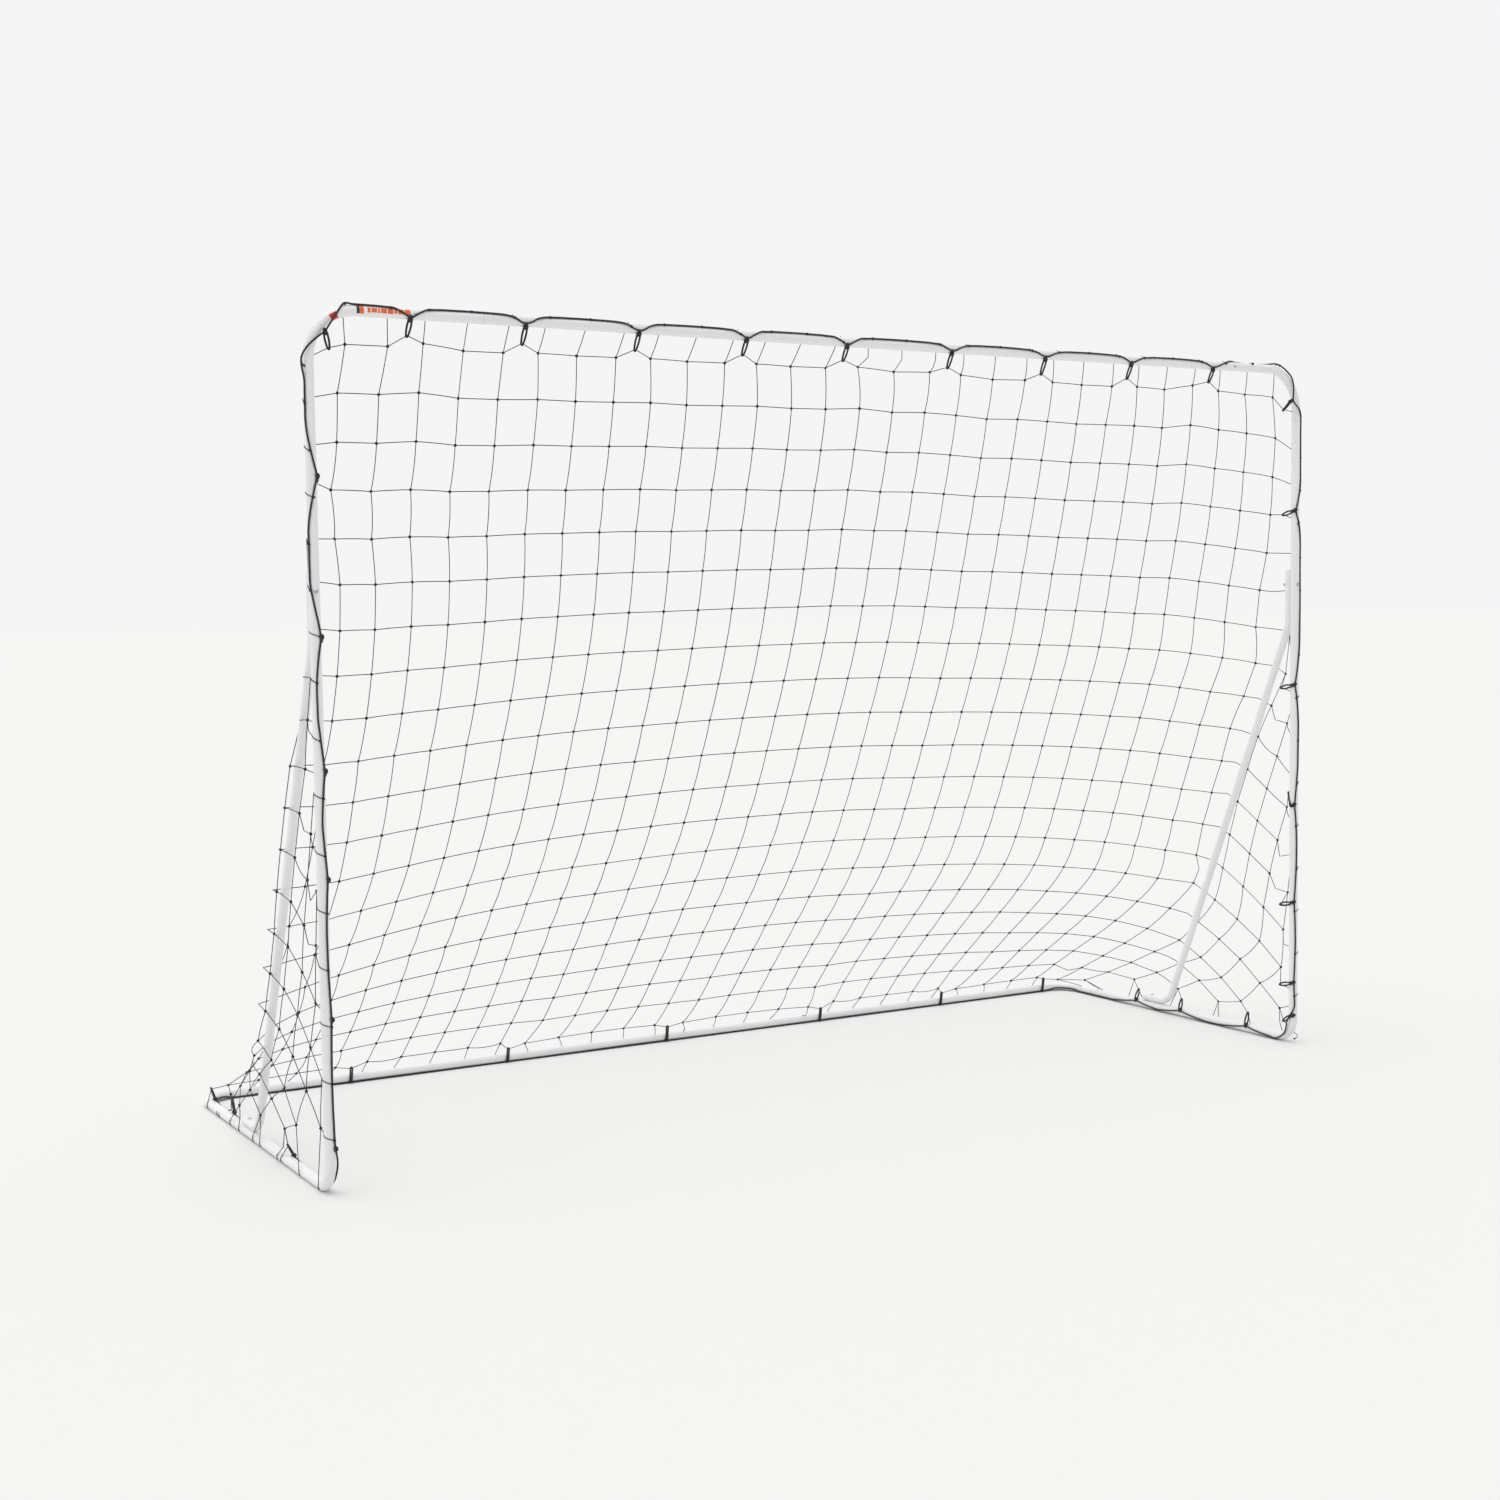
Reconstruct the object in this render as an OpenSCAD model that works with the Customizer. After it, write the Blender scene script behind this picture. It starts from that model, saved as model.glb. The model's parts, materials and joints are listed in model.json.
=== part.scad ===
/* [Frame] */
// Width over the outside of the posts
goal_w = 3000; // [2400:50:3600]
// Height to the top of the crossbar
goal_h = 2000; // [1600:50:2400]
// Depth over the outside of the front and rear tubes
goal_d = 1100; // [900:25:1400]
// Outer diameter of the main tubes
tube_od = 25; // [22:0.5:32]
// Wall of the main tubes
tube_wall = 1.2; // [0.8:0.1:1.6]

/* [Bends] */
// Centre-line radius of the two top corners
top_bend_r = 110; // [80:5:130]
// Centre-line radius where a post turns back along the ground
foot_bend_r = 60; // [45:5:100]
// Centre-line radius of the two rear corners
rear_bend_r = 80; // [50:5:120]
// Centre-line radius of the strut bends
strut_bend_r = 60; // [45:5:100]

/* [Tube joints] */
// Length of a corner along the crossbar or rear tube, from the post's centre to its joint
corner_leg = 415.5; // [300:0.5:500]
// Drop from the crossbar's centre to the joint between a top corner and its post
corner_drop = 143.5; // [135:0.5:400]
// Height of the joint between a post and its foot
foot_joint_z = 370; // [250:5:500]
// Length of a foot along the ground, from the post's centre
foot_run = 575; // [450:5:600]
// Length of the plug inside the outer joints of the crossbar and rear tube
beam_plug_len = 185; // [100:5:220]
// Distance from those joints to their snap button
beam_button_at = 166; // [60:2:200]
// Length of the plug inside every other joint
plug_len = 100; // [60:5:120]
// Distance from those joints to their snap button
button_at = 60; // [40:2:80]
// Width of the groove that shows at a joint between two tubes
joint_gap = 0.5; // [0.2:0.1:1]
// Radial clearance between a plug and the tube around it
plug_gap = 0.2; // [0.1:0.05:0.4]
// Wall of the plugs
plug_wall = 1; // [0.8:0.1:1.4]

/* [Snap buttons] */
// Diameter of a snap button
button_d = 6; // [5:0.5:7]
// How far a snap button stands out of its tube
button_proud = 2.5; // [1.5:0.1:3]
// Travel of a snap button when it is pressed
button_travel = 4; // [3:0.1:4.5]
// Radial clearance of a snap button in its holes
button_gap = 0.3; // [0.2:0.05:0.5]
// Width of the spring strip
clip_w = 8; // [6:0.5:9]
// Thickness of the spring strip
clip_t = 0.8; // [0.5:0.1:1]
// Length of the spring strip behind the button
clip_len = 34; // [25:1:45]

/* [Struts] */
// Outer diameter of the struts
strut_od = 22; // [19:0.5:25]
// Wall of the struts
strut_wall = 1.2; // [0.8:0.1:1.6]
// Height of a strut's upper end
strut_top_z = 1405; // [1200:5:1700]
// Height at which a strut bends away from its post
strut_bend_z = 1245; // [1000:5:1500]
// Height of the joint in a strut
strut_joint_z = 675; // [400:5:900]
// Distance from the post's centre to the strut's bend onto the base
strut_foot_y = 545; // [450:5:650]
// Length of the strut's foot beyond that bend
strut_foot_len = 115; // [95:5:160]
// Gap between a strut and the tube it is bolted to
strut_gap = 0.2; // [0.1:0.05:0.5]

/* [Fasteners] */
// Diameter of the screws
screw_d = 6; // [5:1:8]
// Clearance of a screw in its hole, on the radius
screw_gap = 0.2; // [0.1:0.05:0.4]
// Diameter of the domed screw heads
head_d = 10.5; // [9:0.5:14]
// Height of the domed screw heads
head_h = 3.3; // [2.5:0.1:5]
// Height of the post screw
post_screw_z = 1365; // [1260:5:1390]
// Distance from the strut's lower bend to the base screw
base_screw_at = 80; // [60:5:90]
// Width across flats of the nuts
nut_af = 10; // [8:1:13]
// Height of the nuts
nut_h = 5; // [4:0.5:7]
// Diameter of the washers
washer_d = 12; // [10:0.5:18]
// Thickness of the washers
washer_t = 1.2; // [0.8:0.1:2]

/* [Net] */
// Thickness of the solid that stands for a net panel
panel_t = 1; // [1:0.5:4]
// Diameter of the edge rope
rope_d = 4; // [3:0.5:6]
// Diameter of one elastic tie loop, both its cords together
tie_d = 5; // [4:0.5:7]
// Clearance of the net, rope and ties from the tubes
net_gap = 0.5; // [0.3:0.1:1]

/* [Labels] */
// Distance from the post's centre to the near end of the marking band
band_from_post = 124.5; // [110:0.5:200]
// Length of the marking band
band_len = 118; // [80:2:120]
// Thickness of the marking band and the corner tag
band_t = 0.3; // [0.2:0.1:0.5]

/* [Hidden] */
$fn = 48;
eps = 0.01;
white = [0.90, 0.91, 0.93];
steel = [0.70, 0.71, 0.73];
black = [0.04, 0.04, 0.045];

// Centre lines of the frame
tube_r = tube_od / 2;
post_x = goal_w / 2 - tube_r;
front_y = tube_r - goal_d / 2;
rear_y = goal_d / 2 - tube_r;
bar_z = goal_h - tube_r;
base_z = tube_r;
beam_len = post_x - corner_leg;
top_joint_z = bar_z - corner_drop;
inner_depth = rear_y - front_y;

// Tube and plug radii
tube_bore_r = tube_r - tube_wall;
plug_r = tube_bore_r - plug_gap;
plug_bore_r = plug_r - plug_wall;
strut_r = strut_od / 2;
strut_bore_r = strut_r - strut_wall;
strut_plug_r = strut_bore_r - plug_gap;
strut_plug_bore_r = strut_plug_r - plug_wall;
neck_len = 6;

// Swell of a bent tube's diameter, and how far its legs run into the bend
bend_swell = 0.1;
bend_overlap = 0.6;

// Strut centre line, in the plane of its post
strut_y0 = front_y + tube_r + strut_gap + strut_r;
strut_y1 = front_y + strut_foot_y;
strut_z1 = 2 * tube_r + strut_gap + strut_r;
strut_lean = atan((strut_y1 - strut_y0) / (strut_bend_z - strut_z1));
strut_down = [0, sin(strut_lean), -cos(strut_lean)];
strut_out = [0, cos(strut_lean), sin(strut_lean)];
strut_joint_y = strut_y0 + (strut_bend_z - strut_joint_z) * tan(strut_lean);
strut_upper_run = (strut_bend_z - strut_joint_z) / cos(strut_lean);
strut_lower_run = (strut_joint_z - strut_z1) / cos(strut_lean);

// Snap joints: [place, plug direction, button direction, plug length, button distance, outer radius, bore]
function tube_snap(p, along, out, l, s) = [p, along, out, l, s, tube_r, plug_bore_r];
snap_crossbar = [
    tube_snap([-beam_len, front_y, bar_z], [-1, 0, 0], [0, -1, 0], beam_plug_len, beam_button_at),
    tube_snap([beam_len, front_y, bar_z], [1, 0, 0], [0, -1, 0], beam_plug_len, beam_button_at),
    tube_snap([0, front_y, bar_z], [1, 0, 0], [0, 1, 0], plug_len, button_at)
];
snap_rear = [
    tube_snap([-beam_len, rear_y, base_z], [-1, 0, 0], [0, 1, 0], beam_plug_len, beam_button_at),
    tube_snap([beam_len, rear_y, base_z], [1, 0, 0], [0, 1, 0], beam_plug_len, beam_button_at),
    tube_snap([0, rear_y, base_z], [1, 0, 0], [0, 1, 0], plug_len, button_at)
];
function snap_post_top(side) = tube_snap([side * post_x, front_y, top_joint_z], [0, 0, -1], [0, 1, 0], plug_len, button_at);
function snap_post_foot(side) = tube_snap([side * post_x, front_y, foot_joint_z], [0, 0, 1], [0, 1, 0], plug_len, button_at);
function snap_strut(side) = [
    [side * post_x, strut_joint_y, strut_joint_z], strut_down, strut_out,
    plug_len, button_at, strut_r, strut_plug_bore_r
];
all_snaps = concat(
    snap_crossbar, snap_rear,
    [for (s = [-1, 1]) snap_post_top(s)],
    [for (s = [-1, 1]) snap_post_foot(s)],
    [for (s = [-1, 1]) snap_strut(s)]
);

// Clip sizes inside a plug bore
function clip_reach(bore) = sqrt(bore * bore - clip_w * clip_w / 4);
function arm_top(bore) = clip_reach(bore) - 0.4;
function leaf_end(bore) = arm_top(bore) - clip_t - button_travel - 0.6;

// Rope and tie places
rope_off = tube_r + rope_d / 2 + net_gap;
tie_pitch = 0.2017 * post_x;
bar_tie_x = [for (k = [-4:4]) (k - 0.15) * tie_pitch];
left_post_tie_z = [for (f = [0.815, 0.636, 0.486, 0.362, 0.204, 0.055]) f * bar_z];
right_post_tie_z = [for (f = [0.795, 0.538, 0.36, 0.214, 0.093, 0.055]) f * bar_z];
left_base_tie_y = [for (f = [0.28, 0.745, 0.893]) f * inner_depth];
right_base_tie_y = [for (f = [0.172, 0.446, 0.642]) f * inner_depth];
rear_tie_x = [for (f = [-0.719, -0.399, -0.045, 0.326, 0.643, 0.928]) f * post_x];
tie_low = 46;
tie_in = 34;

// Turns a part made along +Z, with its marked side towards +X, into place
module placed(p, along, out) {
    y = cross(along, out);
    multmatrix([
        [out[0], y[0], along[0], p[0]],
        [out[1], y[1], along[1], p[1]],
        [out[2], y[2], along[2], p[2]],
        [0, 0, 0, 1]
    ]) children();
}

// Rod with one bend: leg a along +X from the corner, leg b turned off its line by "turn".
// The bend is wider than its legs by "swell" and they run a little way into it.
module bent_rod(a, b, r, turn, d, swell, over = 0) {
    t = r * tan(turn / 2) - bend_overlap;
    translate([t, 0, 0]) rotate([0, 90, 0]) cylinder(d = d, h = a - t + over);
    translate([t + bend_overlap, r, 0]) rotate([0, 0, 270 - turn]) rotate_extrude(angle = turn)
        translate([r, 0]) circle(d = d + swell);
    rotate([0, 0, 180 - turn]) translate([t, 0, 0]) rotate([0, 90, 0]) cylinder(d = d, h = b - t + over);
}

module bent_tube(a, b, r, turn, d, wall) {
    difference() {
        bent_rod(a, b, r, turn, d, bend_swell);
        bent_rod(a, b, r, turn, d - 2 * wall, -bend_swell, eps);
    }
}

module straight_tube(l, d, wall) {
    difference() {
        cylinder(d = d, h = l);
        translate([0, 0, -eps]) cylinder(d = d - 2 * wall, h = l + 2 * eps);
    }
}

// Plug that grows from a tube's end, with the neck that joins it to the tube
module plug(snap_joint, outer_bore) {
    placed(snap_joint[0], snap_joint[1], snap_joint[2]) difference() {
        union() {
            cylinder(r = outer_bore - plug_gap, h = snap_joint[3]);
            translate([0, 0, -neck_len]) cylinder(r = outer_bore + 0.3, h = neck_len);
        }
        translate([0, 0, -neck_len - eps]) cylinder(r = snap_joint[6], h = snap_joint[3] + neck_len + 2 * eps);
    }
}

module button_hole(snap_joint) {
    placed(snap_joint[0], snap_joint[1], snap_joint[2])
        translate([0, 0, snap_joint[4]]) rotate([0, 90, 0])
            cylinder(d = button_d + 2 * button_gap, h = snap_joint[5] + 5);
}

// Button and the spring arm that carries it
module snap_button(snap_joint) {
    top = arm_top(snap_joint[6]);
    tip = snap_joint[5] + button_proud;
    crown = 1.2;
    color(steel) placed(snap_joint[0], snap_joint[1], snap_joint[2]) translate([0, 0, snap_joint[4]]) {
        translate([top - clip_t, -clip_w / 2, -clip_len + 6]) cube([clip_t, clip_w, clip_len]);
        translate([top - clip_t / 2, 0, 0]) rotate([0, 90, 0])
            cylinder(d = button_d, h = tip - crown - top + clip_t / 2);
        translate([tip - crown, 0, 0]) rotate([0, 90, 0]) cylinder(d1 = button_d, d2 = button_d - 2 * crown, h = crown);
    }
}

// Fixed half of a clip: a strip on the bore that curls up behind the button arm
module clip_leaf(snap_joint) {
    low = -clip_reach(snap_joint[6]);
    high = leaf_end(snap_joint[6]);
    curl = (high - low) / 2;
    placed(snap_joint[0], snap_joint[1], snap_joint[2]) translate([0, 0, snap_joint[4]]) {
        translate([low, -clip_w / 2, -clip_len + 12]) cube([clip_t, clip_w, clip_len - 6]);
        translate([low + curl, clip_w / 2, -clip_len + 12]) rotate([90, 0, 0]) intersection() {
            difference() {
                cylinder(r = curl, h = clip_w);
                translate([0, 0, -eps]) cylinder(r = curl - clip_t, h = clip_w + 2 * eps);
            }
            translate([-curl, -curl, 0]) cube([2 * curl, curl, clip_w]);
        }
    }
}

module screw_hole(p, along, l) {
    placed(p, along, along[0] == 0 ? [1, 0, 0] : [0, 1, 0])
        cylinder(r = screw_d / 2 + screw_gap, h = l);
}

// Mirrors a left-hand part to the right
module flip(side) {
    if (side > 0) mirror([1, 0, 0]) children();
    else children();
}

module top_corner(side) {
    color(white) difference() {
        union() {
            flip(side) translate([-post_x, front_y, bar_z]) rotate([-90, 0, 0])
                bent_tube(corner_leg - joint_gap, corner_drop, top_bend_r, 90, tube_od, tube_wall);
            plug(snap_post_top(side), tube_bore_r);
        }
        button_hole(snap_crossbar[side < 0 ? 0 : 1]);
        button_hole(snap_post_top(side));
    }
}

// Straight half of the crossbar or of the rear tube, with a plug at its outer end
module beam(side, joints) {
    p = joints[2][0];
    outer = joints[side < 0 ? 0 : 1];
    inner_end = side < 0 ? 0 : joint_gap;
    color(white) difference() {
        union() {
            translate([side < 0 ? -beam_len : inner_end, p[1], p[2]]) rotate([0, 90, 0])
                straight_tube(beam_len - inner_end, tube_od, tube_wall);
            plug(outer, tube_bore_r);
            if (side < 0) plug(joints[2], tube_bore_r);
        }
        button_hole(outer);
        button_hole(joints[2]);
    }
}

module post(side) {
    color(white) difference() {
        translate([side * post_x, front_y, foot_joint_z + joint_gap])
            straight_tube(top_joint_z - foot_joint_z - 2 * joint_gap, tube_od, tube_wall);
        button_hole(snap_post_top(side));
        button_hole(snap_post_foot(side));
        screw_hole([side * post_x, front_y - tube_od, post_screw_z], [0, 1, 0], 2 * tube_od);
    }
}

// Joint between a foot and its rear corner, locked by the base screw
function base_joint(side) = tube_snap(
    [side * post_x, front_y + foot_run, base_z], [0, 1, 0], [0, 0, 1], plug_len, button_at
);
function base_screw_y() = strut_y1 + base_screw_at;

module front_foot(side) {
    color(white) difference() {
        union() {
            flip(side) translate([-post_x, front_y, base_z]) rotate([0, -90, 0])
                bent_tube(foot_joint_z - base_z, foot_run, foot_bend_r, 90, tube_od, tube_wall);
            plug(snap_post_foot(side), tube_bore_r);
            plug(base_joint(side), tube_bore_r);
        }
        button_hole(snap_post_foot(side));
        screw_hole([side * post_x, base_screw_y(), base_z], [0, 0, 1], 2 * tube_od);
    }
}

module rear_corner(side) {
    color(white) difference() {
        flip(side) translate([-post_x, rear_y, base_z]) mirror([0, 1, 0])
            bent_tube(
                corner_leg - joint_gap, inner_depth - foot_run - joint_gap, rear_bend_r, 90, tube_od, tube_wall
            );
        button_hole(snap_rear[side < 0 ? 0 : 1]);
        screw_hole([side * post_x, base_screw_y(), base_z], [0, 0, 1], 2 * tube_od);
    }
}

module strut_upper(side) {
    color(white) difference() {
        union() {
            translate([side * post_x, strut_y0, strut_bend_z]) rotate([0, -90, 0])
                bent_tube(strut_top_z - strut_bend_z, strut_upper_run, strut_bend_r, strut_lean, strut_od, strut_wall);
            plug(snap_strut(side), strut_bore_r);
        }
        button_hole(snap_strut(side));
        screw_hole([side * post_x, strut_y0 - strut_od, post_screw_z], [0, 1, 0], 2 * strut_od);
    }
}

module strut_lower(side) {
    color(white) difference() {
        translate([side * post_x, strut_y1, strut_z1]) rotate([90, 0, 90])
            bent_tube(strut_foot_len, strut_lower_run - joint_gap, strut_bend_r, 90 - strut_lean, strut_od, strut_wall);
        button_hole(snap_strut(side));
        screw_hole([side * post_x, base_screw_y(), base_z], [0, 0, 1], 4 * strut_od);
    }
}

// Screw along +Z from the origin, its domed head below the origin
module screw(l) {
    rim = 1.2;
    translate([0, 0, -eps]) cylinder(d = screw_d, h = l + eps);
    translate([0, 0, -rim]) cylinder(d = head_d, h = rim);
    translate([0, 0, -head_h]) cylinder(d1 = head_d * 0.55, d2 = head_d, h = head_h - rim);
}

module hex_nut() {
    difference() {
        cylinder(d = nut_af / cos(30), h = nut_h, $fn = 6);
        translate([0, 0, -eps]) cylinder(d = screw_d, h = nut_h + 2 * eps);
    }
}

post_stack = tube_od + strut_gap + strut_od;
function base_nut_top() = base_z + 7;

module post_screws() {
    color(steel) for (s = [-1, 1])
        placed([s * post_x, front_y - tube_r, post_screw_z], [0, 1, 0], [1, 0, 0])
            screw(post_stack + washer_t + nut_h + 2);
}

module post_washers() {
    color(steel) for (s = [-1, 1])
        placed([s * post_x, front_y - tube_r + post_stack, post_screw_z], [0, 1, 0], [1, 0, 0]) difference() {
            cylinder(d = washer_d, h = washer_t);
            translate([0, 0, -eps]) cylinder(r = screw_d / 2 + screw_gap, h = washer_t + 2 * eps);
        }
}

module post_nuts() {
    color(steel) for (s = [-1, 1])
        placed([s * post_x, front_y - tube_r + post_stack + washer_t, post_screw_z], [0, 1, 0], [1, 0, 0]) hex_nut();
}

module base_screws() {
    top = strut_z1 + strut_r;
    color(steel) for (s = [-1, 1])
        placed([s * post_x, base_screw_y(), top], [0, 0, -1], [1, 0, 0])
            screw(top - base_nut_top() + nut_h + 2);
}

module base_nuts() {
    color(steel) for (s = [-1, 1])
        placed([s * post_x, base_screw_y(), base_nut_top()], [0, 0, -1], [1, 0, 0]) hex_nut();
}

module end_cap() {
    cap_t = 2.5;
    cylinder(d = strut_od, h = cap_t);
    translate([0, 0, -12]) cylinder(r = strut_bore_r - plug_gap, h = 12 + eps);
}

module strut_end_caps() {
    color(white) for (s = [-1, 1]) {
        placed([s * post_x, strut_y0, strut_top_z], [0, 0, 1], [1, 0, 0]) end_cap();
        placed([s * post_x, strut_y1 + strut_foot_len, strut_z1], [0, 1, 0], [1, 0, 0]) end_cap();
    }
}

// Thin film on the front of the crossbar's left corner tube
module marking_band() {
    half_wrap = 75;
    color("orangered") translate([-post_x + band_from_post, front_y, bar_z])
        rotate([0, 90, 0]) rotate([0, 0, -90 - half_wrap])
        rotate_extrude(angle = 2 * half_wrap) translate([tube_r, 0]) square([band_t, band_len]);
}

// Small film on the inside of the top left bend
module corner_tag() {
    tag_w = 12;
    tag_turn = 14;
    color("red") translate([-post_x + top_bend_r, front_y, bar_z - top_bend_r]) rotate([90, 0, 0])
        rotate([0, 0, 135 - tag_turn / 2]) rotate_extrude(angle = tag_turn)
            translate([top_bend_r - tube_r - bend_swell / 2 - band_t, -tag_w / 2]) square([band_t, tag_w]);
}

// Capsule from p to q
module capsule(p, q, d) {
    v = q - p;
    l = norm(v);
    along = v / l;
    side = abs(along[0]) < 0.9 ? [1, 0, 0] : [0, 1, 0];
    across = cross(along, side);
    placed(p, along, across / norm(across)) {
        cylinder(d = d, h = l);
        sphere(d = d);
        translate([0, 0, l]) sphere(d = d);
    }
}

// Rope route, from the middle of the crossbar down the left side to the middle of the rear tube
rope_turn = 40;
rope_bend_r = top_bend_r + rope_off * sin(rope_turn);
rope_front = front_y - rope_off * cos(rope_turn);
wrap_top = 375;
wrap_low = 215;
wrap_steps = 5;
left_route = concat(
    [for (a = [90:15:180]) [
        -post_x + top_bend_r + rope_bend_r * cos(a), rope_front, bar_z - top_bend_r + rope_bend_r * sin(a)
    ]],
    [for (k = [0:wrap_steps]) let(a = (-90 - rope_turn) * (1 - k / wrap_steps)) [
        -post_x + rope_off * cos(a), front_y + rope_off * sin(a), wrap_top - (wrap_top - wrap_low) * k / wrap_steps
    ]],
    [for (a = [0:15:90]) [
        -post_x + rope_off, front_y + foot_bend_r * (1 - cos(a)), base_z + foot_bend_r * (1 - sin(a))
    ]],
    [for (a = [180:-15:90]) [
        -post_x + rear_bend_r + (rear_bend_r - rope_off) * cos(a), rear_y - rear_bend_r + (rear_bend_r - rope_off) * sin(a), base_z
    ]]
);
rope_route = concat(
    left_route,
    [for (k = [len(left_route) - 1:-1:0]) [-left_route[k][0], left_route[k][1], left_route[k][2]]]
);

// Closed loop of round rope along a list of points
module rope_loop(points, d, sides = 8) {
    n = len(points);
    lean = [1, 1, 1] / sqrt(3);
    rings = [for (k = [0:n - 1]) let(
        ahead = points[(k + 1) % n] - points[k],
        behind = points[k] - points[(k + n - 1) % n],
        t0 = ahead / norm(ahead) + behind / norm(behind),
        t = t0 / norm(t0),
        u0 = cross(t, lean),
        u = u0 / norm(u0),
        v = cross(t, u)
    ) for (s = [0:sides - 1]) points[k] + d / 2 * (u * cos(360 * s / sides) + v * sin(360 * s / sides))];
    quads = [for (k = [0:n - 1]) for (s = [0:sides - 1]) let(
        k2 = (k + 1) % n,
        s2 = (s + 1) % sides
    ) [k * sides + s, k2 * sides + s, k2 * sides + s2, k * sides + s2]];
    polyhedron(points = rings, faces = quads);
}

module edge_rope() {
    color(black) rope_loop(rope_route, rope_d);
}

module ties_crossbar() {
    off = rope_off + 1;
    color(black) {
        for (x = bar_tie_x) capsule(
            [x, front_y - off, bar_z - tie_d], [x - 4, front_y + tie_in / 3, bar_z - tie_low], tie_d
        );
        for (s = [-1, 1]) capsule(
            [s * (post_x - 30), front_y - off, bar_z - 40],
            [s * (post_x - 58), front_y + 6, bar_z - 76], tie_d
        );
    }
}

module ties_post(side, heights) {
    reach = rope_off + tie_in;
    color(black) for (z = heights) capsule(
        [side * (post_x - rope_off), front_y - tie_d - net_gap, z],
        [side * (post_x - reach), front_y + 4, z - 2], tie_d
    );
}

module ties_base_side(side, places) {
    off = tube_r + tie_d / 2 + net_gap;
    color(black) for (y = places) capsule(
        [side * (post_x - off - rope_d / 2), front_y + y, base_z + tie_d],
        [side * (post_x - off), front_y + y + 4, base_z + tie_in], tie_d
    );
}

module ties_base_rear() {
    off = tube_r + tie_d / 2 + net_gap;
    color(black) for (x = rear_tie_x) capsule(
        [x, rear_y - off - rope_d / 2, base_z + tie_d],
        [x, rear_y - off - 15, base_z + tie_in - 4], tie_d
    );
}

// Sloping panel from behind the crossbar to the top of the rear tube
module net_back() {
    gap = net_gap + 1;
    below_button = button_d;
    top = [front_y + tube_r + gap, bar_z - below_button];
    low = [rear_y - tube_r, 2 * base_z + gap];
    run = low - top;
    thick = panel_t * [-run[1], run[0]] / norm(run);
    color(black, 0.5) translate([-post_x + 12, 0, 0]) rotate([90, 0, 90]) linear_extrude(2 * post_x - 24)
        polygon([top, low, low + thick, top + thick]);
}

// Panel outside a post, its strut and the base, cut off where the top bend begins
module net_side(side) {
    inner = post_x + tube_r + net_gap;
    top_z = bar_z - top_bend_r;
    top_w = top_bend_r * inner_depth / (bar_z - base_z);
    color(black, 0.5) translate([side > 0 ? inner : -inner - panel_t, 0, 0]) rotate([90, 0, 90]) linear_extrude(panel_t)
        polygon([[front_y, base_z], [rear_y, base_z], [front_y + top_w, top_z], [front_y, top_z]]);
}

top_corner(-1);  // top_corner_left
top_corner(1);  // top_corner_right
beam(-1, snap_crossbar);  // crossbar_left
beam(1, snap_crossbar);  // crossbar_right
post(-1);  // post_left
post(1);  // post_right
front_foot(-1);  // front_foot_left
front_foot(1);  // front_foot_right
rear_corner(-1);  // rear_corner_left
rear_corner(1);  // rear_corner_right
beam(-1, snap_rear);  // rear_base_left
beam(1, snap_rear);  // rear_base_right
strut_upper(-1);  // strut_upper_left
strut_upper(1);  // strut_upper_right
strut_lower(-1);  // strut_lower_left
strut_lower(1);  // strut_lower_right
snap_button(snap_crossbar[0]);  // button_crossbar_left
snap_button(snap_crossbar[1]);  // button_crossbar_right
snap_button(snap_crossbar[2]);  // button_crossbar_middle
snap_button(snap_rear[0]);  // button_rear_left
snap_button(snap_rear[1]);  // button_rear_right
snap_button(snap_rear[2]);  // button_rear_middle
snap_button(snap_post_top(-1));  // button_post_top_left
snap_button(snap_post_top(1));  // button_post_top_right
snap_button(snap_post_foot(-1));  // button_post_foot_left
snap_button(snap_post_foot(1));  // button_post_foot_right
snap_button(snap_strut(-1));  // button_strut_left
snap_button(snap_strut(1));  // button_strut_right
color(steel) for (j = all_snaps) clip_leaf(j);  // clip_leaves
post_screws();
post_washers();
post_nuts();
base_screws();
base_nuts();
strut_end_caps();
marking_band();
corner_tag();
edge_rope();
net_back();
net_side(-1);  // net_left
net_side(1);  // net_right
ties_crossbar();
ties_post(-1, left_post_tie_z);  // ties_post_left
ties_post(1, right_post_tie_z);  // ties_post_right
ties_base_side(-1, left_base_tie_y);  // ties_base_left
ties_base_side(1, right_base_tie_y);  // ties_base_right
ties_base_rear();
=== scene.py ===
import json
import math
import bpy
import numpy as np
from mathutils import Matrix, Vector


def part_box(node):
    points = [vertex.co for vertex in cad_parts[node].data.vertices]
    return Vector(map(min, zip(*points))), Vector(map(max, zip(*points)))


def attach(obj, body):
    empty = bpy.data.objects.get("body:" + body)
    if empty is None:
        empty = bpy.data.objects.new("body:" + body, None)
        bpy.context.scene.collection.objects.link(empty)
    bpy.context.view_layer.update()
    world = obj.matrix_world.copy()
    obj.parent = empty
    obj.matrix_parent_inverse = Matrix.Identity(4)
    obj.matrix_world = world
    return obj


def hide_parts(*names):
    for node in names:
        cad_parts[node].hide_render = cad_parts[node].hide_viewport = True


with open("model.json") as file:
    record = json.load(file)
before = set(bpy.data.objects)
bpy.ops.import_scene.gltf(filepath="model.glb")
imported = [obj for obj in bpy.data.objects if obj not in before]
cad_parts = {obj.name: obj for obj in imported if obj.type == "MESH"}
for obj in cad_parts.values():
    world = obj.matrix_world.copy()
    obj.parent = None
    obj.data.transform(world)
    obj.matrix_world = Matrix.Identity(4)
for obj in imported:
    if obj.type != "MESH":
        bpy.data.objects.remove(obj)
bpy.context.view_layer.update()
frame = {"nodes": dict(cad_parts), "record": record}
nodes = frame["nodes"]


def newObject(name, data):
    made = bpy.data.objects.new(name, data)
    bpy.context.scene.collection.objects.link(made)
    return made


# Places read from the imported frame

def middle(node, axis):
    low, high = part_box(node)
    return (low[axis] + high[axis]) / 2


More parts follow.
